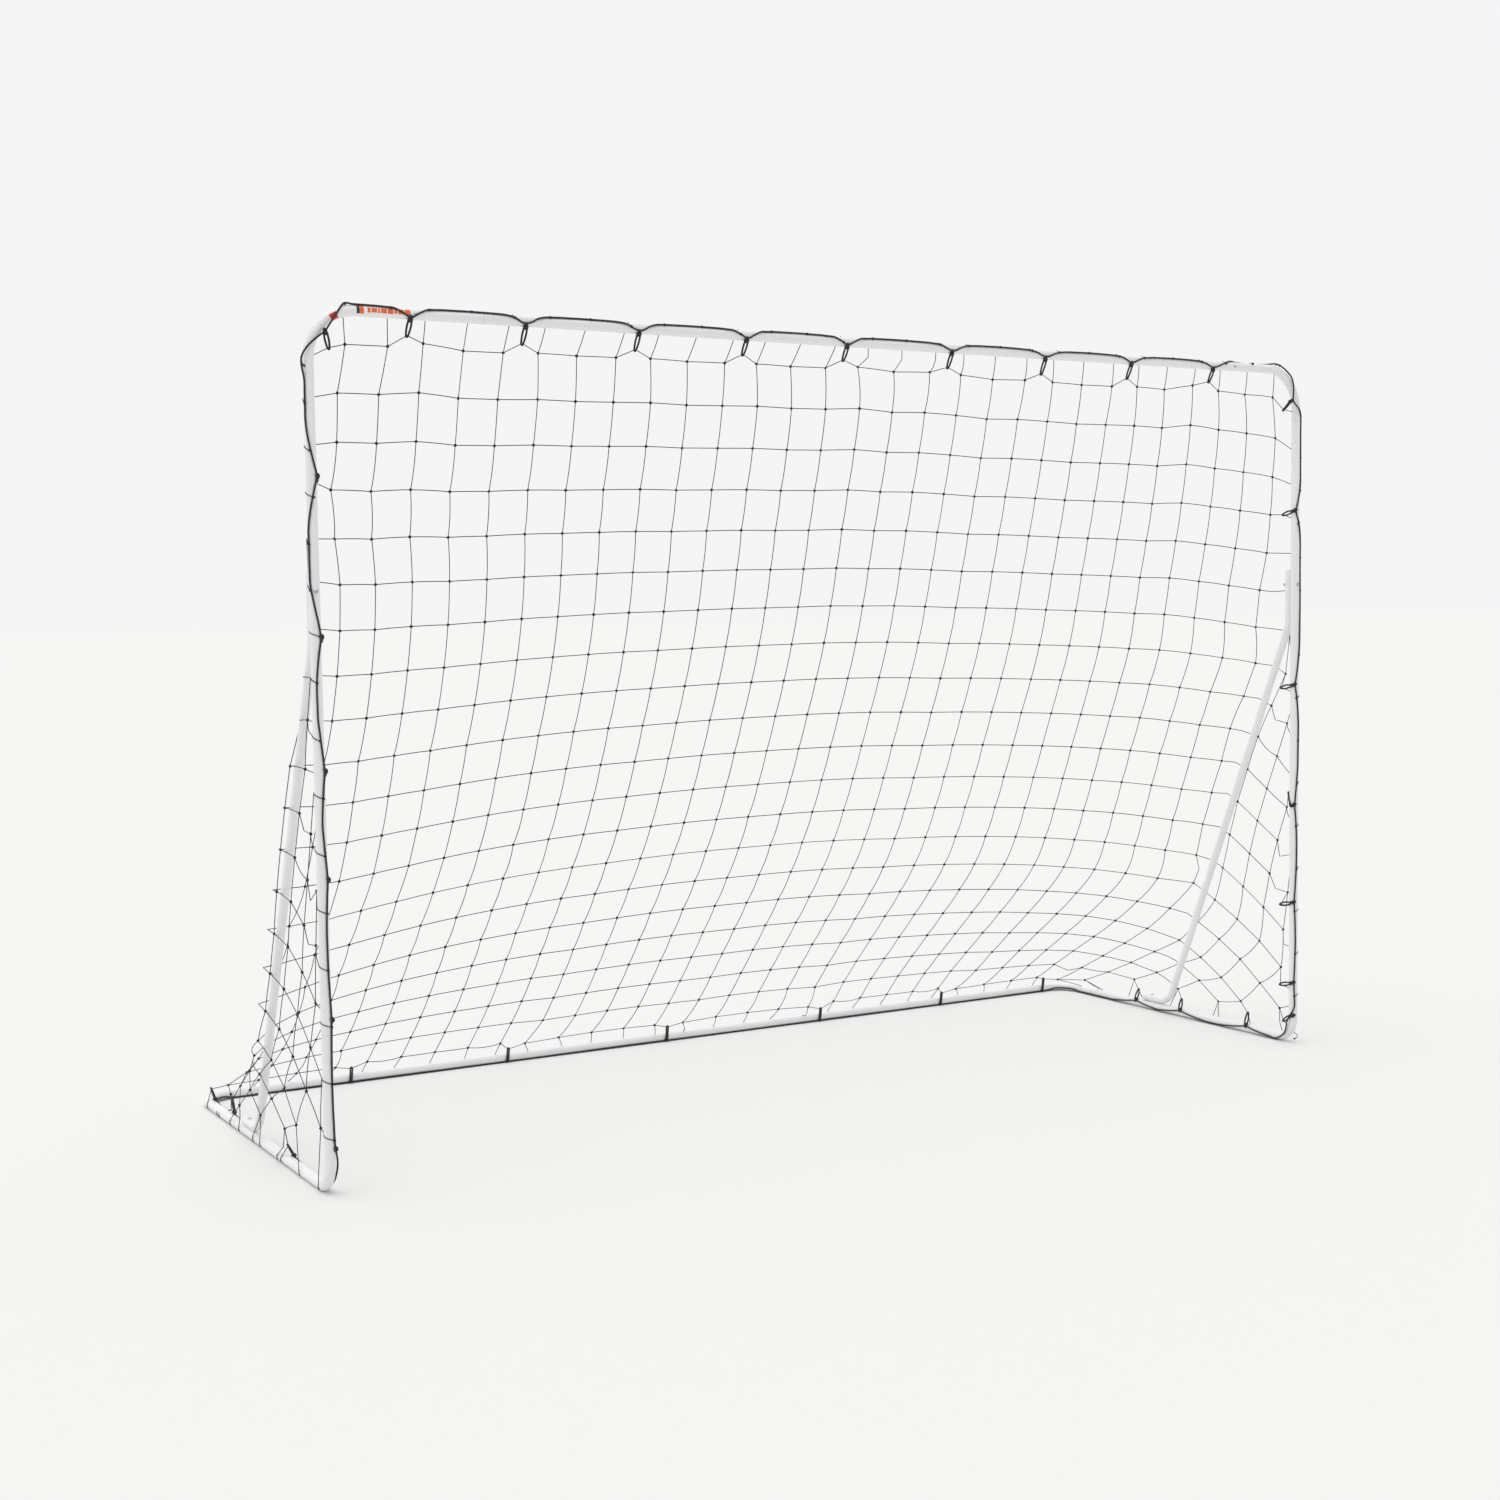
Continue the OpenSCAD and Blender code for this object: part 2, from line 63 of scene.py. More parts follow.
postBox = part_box("post_left")
tubeR = (postBox[1].x - postBox[0].x) / 2
postX = -middle("post_left", 0)
frontY = middle("post_left", 1)
barZ = middle("crossbar_right", 2)
rearY = middle("rear_base_right", 1)
baseZ = middle("rear_base_right", 2)
topBend = 0.110       # the tubes' bend radii, to their centre lines
footBend = 0.060
rearBend = 0.080
strutBendZ = 1.245    # where a strut turns away from its post
print("frame read: post at", round(postX, 4), "bar at", round(barZ, 4))


# Camera

cameraPlace = {
    "place": (-2.954, -4.9775, 1.309),
    "turn": 30.15,        # degrees from straight ahead, towards +X
    "tilt": -3.87,
    "roll": -0.78,
    "lens": 49.34,        # on a 36 mm sensor
}


def makeCamera(p):
    turn, tilt, roll = (math.radians(p[k]) for k in ("turn", "tilt", "roll"))
    ahead = Vector((math.sin(turn) * math.cos(tilt), math.cos(turn) * math.cos(tilt), math.sin(tilt)))
    level = Vector((math.cos(turn), -math.sin(turn), 0))
    above = level.cross(ahead)
    right = level * math.cos(roll) + above * math.sin(roll)
    up = above * math.cos(roll) - level * math.sin(roll)
    data = bpy.data.cameras.new("viewCamera")
    data.lens = p["lens"]
    data.sensor_width = 36
    data.clip_end = 500
    camera = newObject("viewCamera", data)
    matrix = Matrix((right, up, -ahead)).transposed().to_4x4()
    matrix.translation = Vector(p["place"])
    camera.matrix_world = matrix
    bpy.context.scene.camera = camera


makeCamera(cameraPlace)


# Floor and light

studio = {
    "floorColor": (0.797, 0.790, 0.773, 1),
    "floorHalf": 220,                       # large enough to reach the horizon
    "floorDrop": 0.0006,                    # just under the tubes
    "backdrop": (0.910, 0.910, 0.910, 1),
    "backLight": (1.0, 1.0, 1.0, 1),        # light from behind and above
    "frontLight": (0.52, 0.535, 0.565, 1),  # cooler, weaker light from the mouth's side
    "lightTurn": (-0.9, 0.5),               # where one changes into the other, along Y
    "sunStrength": 1.1,
    "sunAngle": 55,
    "sunLean": (8, -10),
}


def makeFloor(p):
    half = p["floorHalf"]
    mesh = bpy.data.meshes.new("studioFloor")
    corners = [(x * half, y * half, -p["floorDrop"]) for x, y in ((-1, -1), (1, -1), (1, 1), (-1, 1))]
    mesh.from_pydata(corners, [], [(0, 1, 2, 3)])
    floor = newObject("studioFloor", mesh)
    material = bpy.data.materials.new("floorPaint")
    material.use_nodes = True
    shader = material.node_tree.nodes["Principled BSDF"]
    shader.inputs["Base Color"].default_value = p["floorColor"]
    shader.inputs["Roughness"].default_value = 1
    shader.inputs["Specular IOR Level"].default_value = 0
    mesh.materials.append(material)


def makeLight(p):
    world = bpy.data.worlds.new("studioWorld")
    bpy.context.scene.world = world
    world.use_nodes = True
    tree = world.node_tree
    tree.nodes.clear()
    coord = tree.nodes.new("ShaderNodeTexCoord")
    split = tree.nodes.new("ShaderNodeSeparateXYZ")
    ramp = tree.nodes.new("ShaderNodeMapRange")
    ramp.interpolation_type = "SMOOTHSTEP"
    ramp.inputs["From Min"].default_value, ramp.inputs["From Max"].default_value = p["lightTurn"]
    mix = tree.nodes.new("ShaderNodeMix")
    mix.data_type = "RGBA"
    mix.inputs[6].default_value = p["frontLight"]
    mix.inputs[7].default_value = p["backLight"]
    path = tree.nodes.new("ShaderNodeLightPath")
    seen = tree.nodes.new("ShaderNodeMix")
    seen.data_type = "RGBA"
    seen.inputs[7].default_value = p["backdrop"]
    background = tree.nodes.new("ShaderNodeBackground")
    out = tree.nodes.new("ShaderNodeOutputWorld")
    tree.links.new(coord.outputs["Generated"], split.inputs[0])
    tree.links.new(split.outputs["Y"], ramp.inputs["Value"])
    tree.links.new(ramp.outputs[0], mix.inputs[0])
    tree.links.new(mix.outputs[2], seen.inputs[6])
    tree.links.new(path.outputs["Is Camera Ray"], seen.inputs[0])
    tree.links.new(seen.outputs[2], background.inputs["Color"])
    tree.links.new(background.outputs[0], out.inputs[0])
    sun = bpy.data.lights.new("overheadLight", "SUN")
    sun.energy = p["sunStrength"]
    sun.angle = math.radians(p["sunAngle"])
    lamp = newObject("overheadLight", sun)
    lamp.rotation_euler = (math.radians(p["sunLean"][0]), math.radians(p["sunLean"][1]), 0)
    bpy.context.scene.view_settings.view_transform = "Standard"


makeFloor(studio)
makeLight(studio)
print("camera, floor and light made")


# Shader groups that several finishes share

def newGroup(name, inputs, outputs):
    group = bpy.data.node_groups.new(name, "ShaderNodeTree")
    for label, kind, value in inputs:
        socket = group.interface.new_socket(label, in_out="INPUT", socket_type=kind)
        if value is not None:
            socket.default_value = value
    for label, kind in outputs:
        group.interface.new_socket(label, in_out="OUTPUT", socket_type=kind)
    return group, group.nodes.new("NodeGroupInput"), group.nodes.new("NodeGroupOutput")


def addMath(tree, operation, a, b=None, c=None):
    node = tree.nodes.new("ShaderNodeMath")
    node.operation = operation
    for index, value in enumerate((a, b, c)):
        if value is None:
            continue
        if isinstance(value, (int, float)):
            node.inputs[index].default_value = value
        else:
            tree.links.new(value, node.inputs[index])
    return node.outputs[0]


def addNoise(tree, vector, scale, detail=2, roughness=0.5):
    node = tree.nodes.new("ShaderNodeTexNoise")
    tree.links.new(vector, node.inputs["Vector"])
    for label, value in (("Scale", scale), ("Detail", detail), ("Roughness", roughness)):
        if isinstance(value, (int, float)):
            node.inputs[label].default_value = value
        else:
            tree.links.new(value, node.inputs[label])
    return node.outputs["Fac"]


def addRange(tree, value, low, high, toLow=0, toHigh=1):
    node = tree.nodes.new("ShaderNodeMapRange")
    tree.links.new(value, node.inputs["Value"])
    for label, number in (("From Min", low), ("From Max", high), ("To Min", toLow), ("To Max", toHigh)):
        if isinstance(number, (int, float)):
            node.inputs[label].default_value = number
        else:
            tree.links.new(number, node.inputs[label])
    return node.outputs[0]


def addMix(tree, factor, a, b):
    node = tree.nodes.new("ShaderNodeMix")
    node.data_type = "RGBA"
    for socket, value in ((node.inputs[0], factor), (node.inputs[6], a), (node.inputs[7], b)):
        if isinstance(value, (int, float, tuple)):
            socket.default_value = value
        else:
            tree.links.new(value, socket)
    return node.outputs[2]


def makeSurfaceGroup():
    # Fine grain, broad tone and small scuffs, in the object's own metres
    group, start, end = newGroup(
        "surfaceDetail",
        [("Grain Scale", "NodeSocketFloat", 900), ("Tone Scale", "NodeSocketFloat", 3),
         ("Scuff Amount", "NodeSocketFloat", 0.3)],
        [("Grain", "NodeSocketFloat"), ("Tone", "NodeSocketFloat"), ("Scuff", "NodeSocketFloat")],
    )
    coord = group.nodes.new("ShaderNodeTexCoord").outputs["Object"]
    grain = addNoise(group, coord, start.outputs["Grain Scale"], 3)
    tone = addNoise(group, coord, start.outputs["Tone Scale"], 4)
    streak = group.nodes.new("ShaderNodeMapping")
    streak.inputs["Scale"].default_value = (1, 1, 0.25)
    group.links.new(coord, streak.inputs["Vector"])
    patch = addNoise(group, coord, 9, 3)
    fine = addNoise(group, streak.outputs[0], 420, 2)
    both = addMath(group, "MULTIPLY", addRange(group, patch, 0.55, 0.75), addRange(group, fine, 0.60, 0.72))
    scuff = addMath(group, "MULTIPLY", both, start.outputs["Scuff Amount"])
    group.links.new(grain, end.inputs["Grain"])
    group.links.new(tone, end.inputs["Tone"])
    group.links.new(scuff, end.inputs["Scuff"])
    return group


def makeCordGroup():
    # Strands that wind round a cord; "Braid" mixes in strands wound the other way
    group, start, end = newGroup(
        "cordStrands",
        [("Pitch", "NodeSocketFloat", 0.006), ("Strands", "NodeSocketFloat", 3),
         ("Braid", "NodeSocketFloat", 0)],
        [("Height", "NodeSocketFloat"), ("Dust", "NodeSocketFloat")],
    )
    uv = group.nodes.new("ShaderNodeUVMap")
    uv.uv_map = "UVMap"
    split = group.nodes.new("ShaderNodeSeparateXYZ")
    group.links.new(uv.outputs[0], split.inputs[0])
    along = addMath(group, "DIVIDE", split.outputs["X"], start.outputs["Pitch"])
    around = addMath(group, "MULTIPLY", split.outputs["Y"], start.outputs["Strands"])

    def strand(sign):
        total = addMath(group, "MULTIPLY_ADD", along, sign, around)
        saw = addMath(group, "FRACT", total)
        return addMath(group, "SINE", addMath(group, "MULTIPLY", saw, math.pi))

    first, second = strand(1.0), strand(-1.0)
    braided = addMath(group, "MAXIMUM", first, second)
    blend = group.nodes.new("ShaderNodeMix")
    group.links.new(start.outputs["Braid"], blend.inputs[0])
    group.links.new(first, blend.inputs[2])
    group.links.new(braided, blend.inputs[3])
    coord = group.nodes.new("ShaderNodeTexCoord").outputs["Object"]
    group.links.new(blend.outputs[0], end.inputs["Height"])
    group.links.new(addNoise(group, coord, 40, 4), end.inputs["Dust"])
    return group


surfaceGroup = makeSurfaceGroup()
cordGroup = makeCordGroup()


def newMaterial(name, roughness, metallic=0.0, specular=0.5):
    material = bpy.data.materials.new(name)
    material.use_nodes = True
    shader = material.node_tree.nodes["Principled BSDF"]
    shader.inputs["Roughness"].default_value = roughness
    shader.inputs["Metallic"].default_value = metallic
    shader.inputs["Specular IOR Level"].default_value = specular
    return material, material.node_tree, shader


def placeGroup(tree, group, values):
    node = tree.nodes.new("ShaderNodeGroup")
    node.node_tree = group
    for label, value in values.items():
        node.inputs[label].default_value = value
    return node


def addBump(tree, shader, height, strength, distance):
    bump = tree.nodes.new("ShaderNodeBump")
    bump.inputs["Strength"].default_value = strength
    bump.inputs["Distance"].default_value = distance
    tree.links.new(height, bump.inputs["Height"])
    tree.links.new(bump.outputs[0], shader.inputs["Normal"])


def solidFinish(name, p):
    # Painted, plated or moulded surface: tone, scuffs, grain
    material, tree, shader = newMaterial(name, p["rough"], p.get("metal", 0.0), p.get("specular", 0.5))
    detail = placeGroup(tree, surfaceGroup, {
        "Grain Scale": p["grainScale"], "Tone Scale": p["toneScale"], "Scuff Amount": p["scuff"],
    })
    tone = addMix(tree, addRange(tree, detail.outputs["Tone"], 0.3, 0.7), p["colorA"], p["colorB"])
    color = addMix(tree, detail.outputs["Scuff"], tone, p["scuffColor"])
    tree.links.new(color, shader.inputs["Base Color"])
    rough = addRange(tree, detail.outputs["Tone"], 0.2, 0.8, p["rough"] - 0.06, p["rough"] + 0.08)
    tree.links.new(rough, shader.inputs["Roughness"])
    addBump(tree, shader, detail.outputs["Grain"], p["bump"], p["bumpDepth"])
    if "coat" in p:
        shader.inputs["Coat Weight"].default_value = p["coat"]
        shader.inputs["Coat Roughness"].default_value = 0.12
    return material


def cordFinish(name, p):
    material, tree, shader = newMaterial(name, p["rough"], 0.0, 0.35)
    strands = placeGroup(tree, cordGroup, {"Pitch": p["pitch"], "Strands": p["strands"], "Braid": p["braid"]})
    # Painted shade: where the strand height is low, in the grooves between strands, the darker groove colour
    # replaces the cord's own colour
    grooveShadedColor = addMix(tree, addRange(tree, strands.outputs["Height"], 0.15, 0.95), p["groove"], p["color"])
    color = addMix(tree, addRange(tree, strands.outputs["Dust"], 0.55, 0.8, 0, 0.35), grooveShadedColor, p["dust"])
    tree.links.new(color, shader.inputs["Base Color"])
    shader.inputs["Sheen Weight"].default_value = p["sheen"]
    shader.inputs["Sheen Roughness"].default_value = 0.5
    addBump(tree, shader, strands.outputs["Height"], 0.9, p["depth"])
    return material


finishes = {
    "framePaint": solidFinish("framePaint", {
        "rough": 0.36, "colorA": (0.82, 0.825, 0.835, 1), "colorB": (0.865, 0.865, 0.865, 1),
        "scuffColor": (0.42, 0.42, 0.41, 1), "grainScale": 1400, "toneScale": 2.2, "scuff": 0.30,
        "bump": 0.015, "bumpDepth": 0.0001, "coat": 0.25,
    }),
    "platedSteel": solidFinish("platedSteel", {
        "rough": 0.27, "metal": 1.0, "colorA": (0.40, 0.41, 0.43, 1), "colorB": (0.52, 0.52, 0.53, 1),
        "scuffColor": (0.30, 0.29, 0.27, 1), "grainScale": 2600, "toneScale": 60, "scuff": 0.5,
        "bump": 0.12, "bumpDepth": 0.0001,
    }),
    "springSteel": solidFinish("springSteel", {
        "rough": 0.38, "metal": 1.0, "colorA": (0.32, 0.33, 0.35, 1), "colorB": (0.45, 0.46, 0.48, 1),
        "scuffColor": (0.20, 0.17, 0.14, 1), "grainScale": 2200, "toneScale": 40, "scuff": 0.6,
        "bump": 0.15, "bumpDepth": 0.0001,
    }),
    "capPlastic": solidFinish("capPlastic", {
        "rough": 0.5, "colorA": (0.78, 0.78, 0.77, 1), "colorB": (0.84, 0.84, 0.83, 1),
        "scuffColor": (0.45, 0.44, 0.42, 1), "grainScale": 1800, "toneScale": 30, "scuff": 0.35,
        "bump": 0.22, "bumpDepth": 0.0002,
    }),
    # In the cord finishes below, each groove colour is painted shade for the creases between the strands
    "netTwine": cordFinish("netTwine", {
        "rough": 0.62, "color": (0.022, 0.022, 0.024, 1), "groove": (0.004, 0.004, 0.005, 1),
        "dust": (0.05, 0.048, 0.045, 1), "sheen": 0.15,
        "pitch": 0.0048, "strands": 3, "braid": 0, "depth": 0.0004,
    }),
    "edgeRope": cordFinish("edgeRope", {
        "rough": 0.66, "color": (0.024, 0.024, 0.026, 1), "groove": (0.004, 0.004, 0.005, 1),
        "dust": (0.06, 0.057, 0.052, 1), "sheen": 0.2,
        "pitch": 0.0055, "strands": 8, "braid": 1, "depth": 0.0006,
    }),
    "elasticCord": cordFinish("elasticCord", {
        "rough": 0.55, "color": (0.020, 0.020, 0.021, 1), "groove": (0.006, 0.006, 0.007, 1),
        "dust": (0.05, 0.048, 0.045, 1), "sheen": 0.2,
        "pitch": 0.0028, "strands": 12, "braid": 1, "depth": 0.0003,
    }),
}


def dress(names, finish):
    for name in names:
        for slot in nodes[name].material_slots:
            slot.material = finishes[finish]


slotFinish = {
    "white_powder_coat": "framePaint", "button_steel": "platedSteel", "zinc_steel": "platedSteel",
    "spring_steel": "springSteel", "cap_plastic": "capPlastic",
}
for part in frame["record"]["subparts"]:
    if part["material_slot"] in slotFinish:
        dress([part["node"]], slotFinish[part["material_slot"]])
print("finishes made")


# Mesh helpers

class MeshParts:
    # Gathers round cords into one mesh, with UVs in metres along and turns around

    def __init__(self):
        self.points, self.faces, self.uvs = [], [], []
        self.count = 0

    def cord(self, path, radius, sides=6, closed=False):
        path = np.asarray(path, float)
        n = len(path)
        if closed:
            tangent = np.roll(path, -1, 0) - np.roll(path, 1, 0)
        else:
            tangent = np.gradient(path, axis=0)
        tangent /= np.linalg.norm(tangent, axis=1)[:, None] + 1e-12
        side = np.zeros_like(path)
        start = np.array([0.31, 0.17, 0.93])
        current = start - tangent[0] * (start @ tangent[0])
        for i in range(n):
            current = current - tangent[i] * (current @ tangent[i])
            current = current / (np.linalg.norm(current) + 1e-12)
            side[i] = current
        other = np.cross(tangent, side)
        if closed:
            # spreads the twist that is left over the whole loop
            last = side[-1] - tangent[0] * (side[-1] @ tangent[0])
            twist = math.atan2(last @ other[0], last @ side[0])
            turn = -twist * np.arange(n) / n
            side, other = (side * np.cos(turn)[:, None] + other * np.sin(turn)[:, None],
                           other * np.cos(turn)[:, None] - side * np.sin(turn)[:, None])
        angle = 2 * math.pi * np.arange(sides) / sides
        ring = (path[:, None, :]
                + radius * (np.cos(angle)[None, :, None] * side[:, None, :]
                            + np.sin(angle)[None, :, None] * other[:, None, :]))
        self.points.append(ring.reshape(-1, 3))
        step = np.linalg.norm(np.diff(np.vstack([path, path[:1]]) if closed else path, axis=0), axis=1)
        along = np.concatenate([[0], np.cumsum(step)])
        rings = n if closed else n - 1
        i = np.repeat(np.arange(rings), sides)
        s = np.tile(np.arange(sides), rings)
        i2, s2 = (i + 1) % n, (s + 1) % sides
        quads = np.stack([i * sides + s, i * sides + s2, i2 * sides + s2, i2 * sides + s], 1) + self.count
        self.faces.append(quads)
        u0, u1 = along[i], along[i + 1]
        v0, v1 = s / sides, (s + 1) / sides
        self.uvs.append(np.stack([np.stack([u0, v0], 1), np.stack([u0, v1], 1),
                                  np.stack([u1, v1], 1), np.stack([u1, v0], 1)], 1))
        self.count += n * sides

    def build(self, name, finish, replaced, slotName):
        points = np.vstack(self.points)
        faces = np.vstack(self.faces)
        mesh = bpy.data.meshes.new(name)
        mesh.vertices.add(len(points))
        mesh.vertices.foreach_set("co", points.astype(np.float32).ravel())
        mesh.loops.add(faces.size)
        mesh.loops.foreach_set("vertex_index", faces.astype(np.int32).ravel())
        mesh.polygons.add(len(faces))
        mesh.polygons.foreach_set("loop_start", (np.arange(len(faces)) * 4).astype(np.int32))
        layer = mesh.uv_layers.new(name="UVMap")
        layer.data.foreach_set("uv", np.vstack(self.uvs).astype(np.float32).ravel())
        mesh.update(calc_edges=True)
        mesh.validate()
        mesh.polygons.foreach_set("use_smooth", np.ones(len(mesh.polygons), bool))
        mesh.materials.append(finishes[finish])
        piece = newObject(name, mesh)
        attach(piece, "frame")
        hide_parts(*replaced)


def smoothPath(points, step=4, closed=False):
    # Catmull-Rom curve through the points
    points = np.asarray(points, float)
    n = len(points)
    spans = n if closed else n - 1
    out = []
    for i in range(spans):
        p1, p2 = points[i], points[(i + 1) % n]
        p0 = points[i - 1] if closed or i > 0 else 2 * p1 - p2
        p3 = points[(i + 2) % n] if closed or i < n - 2 else 2 * p2 - p1
        for t in np.arange(step) / step:
            out.append(0.5 * (2 * p1 + (p2 - p0) * t + (2 * p0 - 5 * p1 + 4 * p2 - p3) * t * t
                              + (3 * p1 - p0 - 3 * p2 + p3) * t ** 3))
    if not closed:
        out.append(points[-1])
    return np.array(out)


# Places around the tubes, as an angle and a distance from the tube's own centre line

def onBar(x, angle, away):
    # 0 faces the front, 90 faces up
    a = math.radians(angle)
    return np.array([x, frontY - away * math.cos(a), barZ + away * math.sin(a)])


def onPost(sign, z, angle, away):
    # 0 faces outwards, 90 the front, 180 the mouth
    a = math.radians(angle)
    return np.array([sign * (postX + away * math.cos(a)), frontY - away * math.sin(a), z])


def onSide(sign, y, angle, away):
    # 0 faces outwards, 90 faces up
    a = math.radians(angle)
    return np.array([sign * (postX + away * math.cos(a)), y, baseZ + away * math.sin(a)])


def onRear(x, angle, away):
    # 0 faces the rear, 90 faces up
    a = math.radians(angle)
    return np.array([x, rearY + away * math.cos(a), baseZ + away * math.sin(a)])


def beforeFrame(place):
    # x, metres before the frame's front tubes' middle, height
    return np.array([place[0], frontY - place[1], place[2]])


# Net, edge rope and ties share these places

net = {
    "cell": 0.106,            # a cell's height
    "twine": 0.00105,         # radius
    "knot": 0.0023,           # radius of the ring that a knot is
    "knotTwine": 0.0019,      # and of its twine
    "lashing": 0.0026,        # radius of a twine's turns round the edge rope
    "across": 0.1000,         # a cell's width near the top, pulled taut
    "acrossLow": 0.1015,      # and near the ground
    "firstRow": 0.079,        # free length from the crossbar to the first row
    "lastRow": 0.063,         # free length from the last row to the rear tube
    "rows": 21,
    "columns": 29,
    "firstColumn": -1.401,
    "barCell": 0.1045,        # between two columns on the crossbar
    "tieCell": 0.092,         # and where a tie draws them together, every third cell
    # columns whose free length from the crossbar is short
    "short": {2: 0.066, 25: 0.060},
    # last column past the crossbar's own, row by row
    "extra": [0, 0, 0, 0, 0, 1, 1, 1, 2, 2, 3, 4, 4, 4, 4, 5, 4, 4, 3, 2, 1],
    # heights where the rows end on the posts: the first, an even run, and a wider run below it
    "postEndsLeft": {"top": 1.872, "next": 1.789, "step": 0.1025, "count": 7, "low": 1.045, "lowStep": 0.129},
    "postEndsRight": {"top": 1.868, "next": 1.748, "step": 0.0975, "count": 5, "low": 1.17, "lowStep": 0.127},
    # metres behind the post where the last rows and the side columns end on the base
    "baseRowEnds": [0.19, 0.36, 0.56, 0.76, 0.88],
    "baseColumnEnds": [0.97, 0.86, 0.68, 0.50, 0.33, 0.05],
    "postAngle": -25,         # side of a post, and of a base tube, where twines end
    "baseAngle": 10,
    "endCell": 0.085,         # free lengths from the last knot to a tube
    "endCellLow": 0.10,
    "endCellTop": 0.095,
    "steps": 6000,
    "quickSteps": 700,
    "fastest": 0.004,         # the farthest a point moves in a step
    "strutBand": (-0.7, 0.006),   # how far before and behind a strut the net is held outside it
    # the pull of gravity and what is left of the speed in each step, early and late
    "pull": (0.00002, 0.000004),
    "keep": (0.97, 0.90),
}
rope = {
    "radius": 0.0023,
    "away": 0.0150,           # its centre line from the tube's
    # angles on the crossbar: at a tie, near it and between ties, and how far it drops to the right
    "barLow": -38,
    "barMid": 42,
    "barHigh": 64,
    "barDrop": 18,
    "baseAngle": 223,         # on the rear tube
    "turnHeight": 0.009,      # in the rear bends
    # round the top corners: x, metres before the tubes' middle, height
    "leftCorner": [(-1.507, 0.012, 1.870), (-1.499, 0.016, 1.894), (-1.478, 0.0185, 1.917),
                   (-1.453, 0.0190, 1.936), (-1.4475, 0.0185, 1.944), (-1.428, 0.017, 1.972)],
    "rightCorner": [(1.447, 0.016, 1.974), (1.460, 0.0185, 1.945), (1.459, 0.019, 1.905),
                    (1.463, 0.019, 1.893), (1.487, 0.017, 1.872)],
    # last places on the crossbar: x and angle
    "barEnd": [(1.225, 75), (1.26, 118), (1.31, 128), (1.37, 120), (1.415, 88)],
}
ties = {
    "radius": 0.0025,
    "open": {"rear": 1.0, "sideLeft": 2.4, "sideRight": 2.4},   # how wide a loop opens
    "openElse": 1.8,
    "farthest": 0.045,        # how far a tie draws the net towards its post
    # heights where the ties hold the net, and on the posts how far inwards, behind and below
    "barNet": 1.940,
    "rearNet": 0.043,
    "sideNet": 0.058,
    "postNet": (0.022, 0.030, 0.010),
    # x on the crossbar and the rear tube, heights on the posts, metres behind the posts on the base
    "bar": [-1.25, -0.967, -0.672, -0.374, -0.079, 0.247, 0.556, 0.856, 1.157],
    "postLeft": [1.62, 1.265, 0.966, 0.722, 0.405, 0.11],
    "postRight": [1.582, 1.071, 0.716, 0.425, 0.184, 0.085],
    "rear": [-1.07, -0.593, -0.067, 0.485, 0.956, 1.38],
    "sideLeft": [0.301, 0.802, 0.978],
    "sideRight": [0.186, 0.481, 0.692],
    # where the corner ties leave the rope and where they hold the net: x, metres before, height
    "cornerStart": {-1: (-1.453, 0.019, 1.938), 1: (1.453, 0.019, 1.900)},
    "cornerEnd": {-1: (-1.442, 0.006, 1.902), 1: (1.436, 0.004, 1.872)},
}


# Net simulation: pinned at the tubes and at the ties, hanging under its own weight

postRows = net["rows"] - len(net["baseRowEnds"])   # rows that end on the posts


def endHeights(p, sign):
    e = p["postEndsRight"] if sign > 0 else p["postEndsLeft"]
    upper = [e["next"] - e["step"] * k for k in range(e["count"])]
    lower = [e["low"] - e["lowStep"] * k for k in range(postRows - 1 - e["count"])]
    return [e["top"]] + upper + lower


